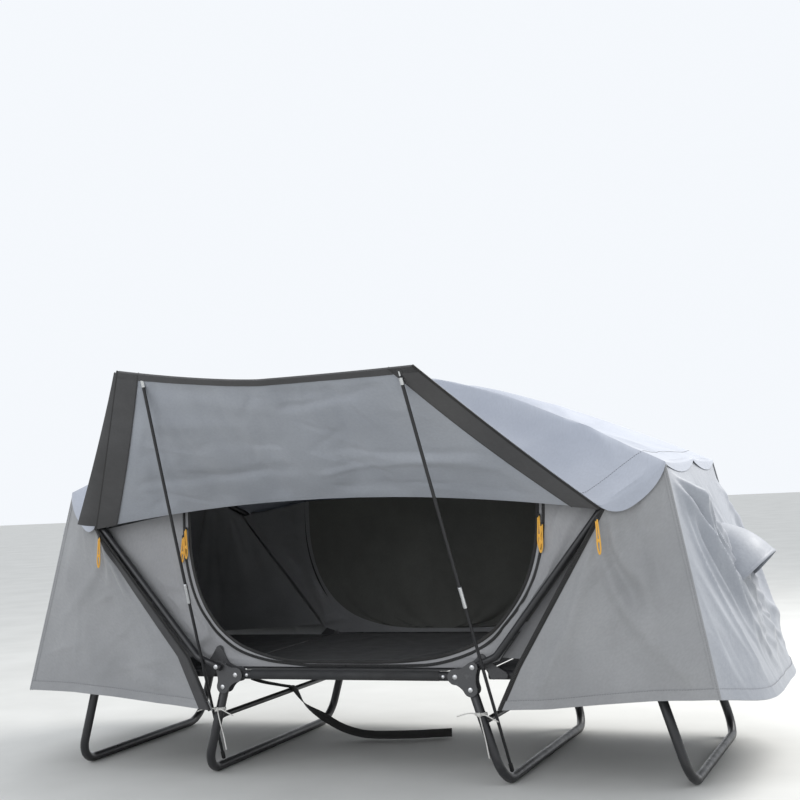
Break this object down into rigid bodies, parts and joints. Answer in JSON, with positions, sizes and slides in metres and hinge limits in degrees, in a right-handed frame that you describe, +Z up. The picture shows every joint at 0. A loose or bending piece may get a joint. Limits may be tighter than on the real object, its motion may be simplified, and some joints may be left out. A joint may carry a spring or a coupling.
{
  "type": "folding tent cot",
  "caption": "Off-ground folding cot with U-shaped legs, fold-in hoops, an inner tent and a rain fly whose side door props up as an awning.",
  "frame": {"origin": "on the ground at the middle of the overall footprint, awning included", "axes": "+X along the bed towards the foot end, +Z up, the open door faces -Y"},
  "size_m": [2.205, 1.2425, 1.0944],
  "materials": {
    "black_steel": "black powder coat, satin",
    "plate_steel": "dark grey powder-coated plate",
    "bright_rivet": "plain zinc rivet",
    "deck_cloth": "black coated polyester oxford",
    "tent_cloth": "mid grey polyester",
    "tent_lining": "dark grey polyester lining",
    "fly_cloth": "grey coated polyester rain fly",
    "roof_cloth": "pale blue grey coated polyester",
    "pole_sleeve": "black fibreglass pole",
    "webbing": "black polypropylene webbing"
  },
  "bodies": {
    "centre_frame": {"middle_rail_near": "black_steel", "middle_rail_far": "black_steel", "deck_middle": "deck_cloth", "hinge_bracket_foot_near": "plate_steel", "hoop_pin_foot_near": "bright_rivet", "leg_c_pin_near": "bright_rivet", "hinge_bracket_foot_far": "plate_steel", "hoop_pin_foot_far": "bright_rivet", "leg_c_pin_far": "bright_rivet", "hinge_bracket_head_near": "plate_steel", "hoop_pin_head_near": "bright_rivet", "leg_b_pin_near": "bright_rivet", "hinge_bracket_head_far": "plate_steel", "hoop_pin_head_far": "bright_rivet", "leg_b_pin_far": "bright_rivet"},
    "foot_section": {"section_frame_foot": "black_steel", "fold_plate_foot_near": "plate_steel", "fold_plate_foot_far": "plate_steel", "deck_foot": "deck_cloth", "leg_d_pin_near": "bright_rivet", "leg_d_pin_far": "bright_rivet"},
    "mid_leg_c": {"leg_c": "black_steel", "leg_cross_bar_c": "black_steel"},
    "end_leg_d": {"leg_d": "black_steel"},
    "foot_hoop": {"hoop_foot": "black_steel", "roof_pole_foot": "pole_sleeve", "fly_roof_foot": "roof_cloth", "fly_end_foot": "fly_cloth", "fly_back_door_foot": "fly_cloth", "fly_wing_foot_near": "fly_cloth", "fly_wing_foot_far": "fly_cloth", "tent_wall_near_foot": "tent_cloth", "tent_wall_far_foot": "tent_lining", "tent_wall_end_foot": "tent_lining"},
    "foot_awning": {"awning_foot": "fly_cloth"},
    "foot_pole": {"awning_pole_foot": "pole_sleeve"},
    "foot_vent": {"vent_hood_foot": "fly_cloth"},
    "head_section": {"section_frame_head": "black_steel", "fold_plate_head_near": "plate_steel", "fold_plate_head_far": "plate_steel", "deck_head": "deck_cloth", "leg_a_pin_near": "bright_rivet", "leg_a_pin_far": "bright_rivet"},
    "mid_leg_b": {"leg_b": "black_steel", "leg_cross_bar_b": "black_steel", "carry_strap": "webbing"},
    "end_leg_a": {"leg_a": "black_steel"},
    "head_hoop": {"hoop_head": "black_steel", "roof_pole_head": "pole_sleeve", "fly_roof_head": "roof_cloth", "fly_end_head": "fly_cloth", "fly_back_door_head": "fly_cloth", "fly_wing_head_near": "fly_cloth", "fly_wing_head_far": "fly_cloth", "tent_wall_near_head": "tent_cloth", "tent_wall_far_head": "tent_lining", "tent_wall_end_head": "tent_lining"},
    "head_awning": {"awning_head": "fly_cloth"},
    "head_pole": {"awning_pole_head": "pole_sleeve"},
    "head_vent": {"vent_hood_head": "fly_cloth"}
  },
  "joints": [
    {"name": "tent_fold", "type": "hinge", "parent": "centre_frame", "child": "foot_hoop", "pos_m": [0.37, 0.175, 0.31], "axis": [0, -1, 0], "range_deg": [0, 131], "deforming": ["roof_pole_foot", "fly_roof_foot", "fly_end_foot", "fly_back_door_foot", "fly_wing_foot_near", "fly_wing_foot_far", "tent_wall_near_foot", "tent_wall_far_foot", "tent_wall_end_foot"]},
    {"name": "head_hoop_fold", "type": "hinge", "parent": "centre_frame", "child": "head_hoop", "pos_m": [-0.37, 0.175, 0.31], "axis": [0, 1, 0], "range_deg": [0, 122], "deforming": ["roof_pole_head", "fly_roof_head", "fly_end_head", "fly_back_door_head", "fly_wing_head_near", "fly_wing_head_far", "tent_wall_near_head", "tent_wall_far_head", "tent_wall_end_head"]},
    {"name": "foot_section_fold", "type": "hinge", "parent": "centre_frame", "child": "foot_section", "pos_m": [0.385, 0.175, 0.328], "axis": [0, -1, 0], "range_deg": [0, 180]},
    {"name": "head_section_fold", "type": "hinge", "parent": "centre_frame", "child": "head_section", "pos_m": [-0.385, 0.175, 0.35], "axis": [0, 1, 0], "range_deg": [0, 180]},
    {"name": "leg_c_fold", "type": "hinge", "parent": "centre_frame", "child": "mid_leg_c", "pos_m": [0.363, 0.175, 0.252], "axis": [0, 1, 0], "range_deg": [0, 107]},
    {"name": "leg_b_fold", "type": "hinge", "parent": "centre_frame", "child": "mid_leg_b", "pos_m": [-0.363, 0.175, 0.252], "axis": [0, -1, 0], "range_deg": [0, 107], "deforming": ["carry_strap"]},
    {"name": "leg_d_fold", "type": "hinge", "parent": "foot_section", "child": "end_leg_d", "pos_m": [0.82, 0.175, 0.28], "axis": [0, 1, 0], "range_deg": [0, 106]},
    {"name": "leg_a_fold", "type": "hinge", "parent": "head_section", "child": "end_leg_a", "pos_m": [-0.82, 0.175, 0.28], "axis": [0, -1, 0], "range_deg": [0, 106]},
    {"name": "awning_fold", "type": "hinge", "parent": "foot_hoop", "child": "foot_awning", "pos_m": [0.365, -0.274, 0.722], "axis": [1, 0, 0], "range_deg": [0, 130], "deforming": ["awning_foot"]},
    {"name": "awning_head_fold", "type": "hinge", "parent": "head_hoop", "child": "head_awning", "pos_m": [-0.365, -0.274, 0.722], "axis": [1, 0, 0], "range_deg": [0, 130], "deforming": ["awning_head"]},
    {"name": "pole_foot_fall", "type": "hinge", "parent": "centre_frame", "child": "foot_pole", "pos_m": [0.437, -0.155, 0.029], "axis": [0.8347, 0.4819, 0.2665], "range_deg": [0, 67]},
    {"name": "pole_head_fall", "type": "hinge", "parent": "centre_frame", "child": "head_pole", "pos_m": [-0.437, -0.155, 0.029], "axis": [0.8347, -0.4819, -0.2665], "range_deg": [0, 67]},
    {"name": "vent_foot_fold", "type": "hinge", "parent": "foot_hoop", "child": "foot_vent", "pos_m": [0.96, 0.175, 0.622], "axis": [0, 1, 0], "range_deg": [0, 30], "deforming": ["vent_hood_foot"]},
    {"name": "vent_head_fold", "type": "hinge", "parent": "head_hoop", "child": "head_vent", "pos_m": [-0.96, 0.175, 0.622], "axis": [0, -1, 0], "range_deg": [0, 30], "deforming": ["vent_hood_head"]}
  ],
  "couplings": [
    {"joint": "head_hoop_fold", "follows": "tent_fold", "ratio": 0.93},
    {"joint": "leg_d_fold", "follows": "foot_section_fold", "ratio": 0.588},
    {"joint": "leg_a_fold", "follows": "head_section_fold", "ratio": 0.588},
    {"joint": "awning_head_fold", "follows": "awning_fold", "ratio": 1},
    {"joint": "pole_foot_fall", "follows": "awning_fold", "ratio": 0.515},
    {"joint": "pole_head_fall", "follows": "awning_fold", "ratio": 0.515}
  ]
}
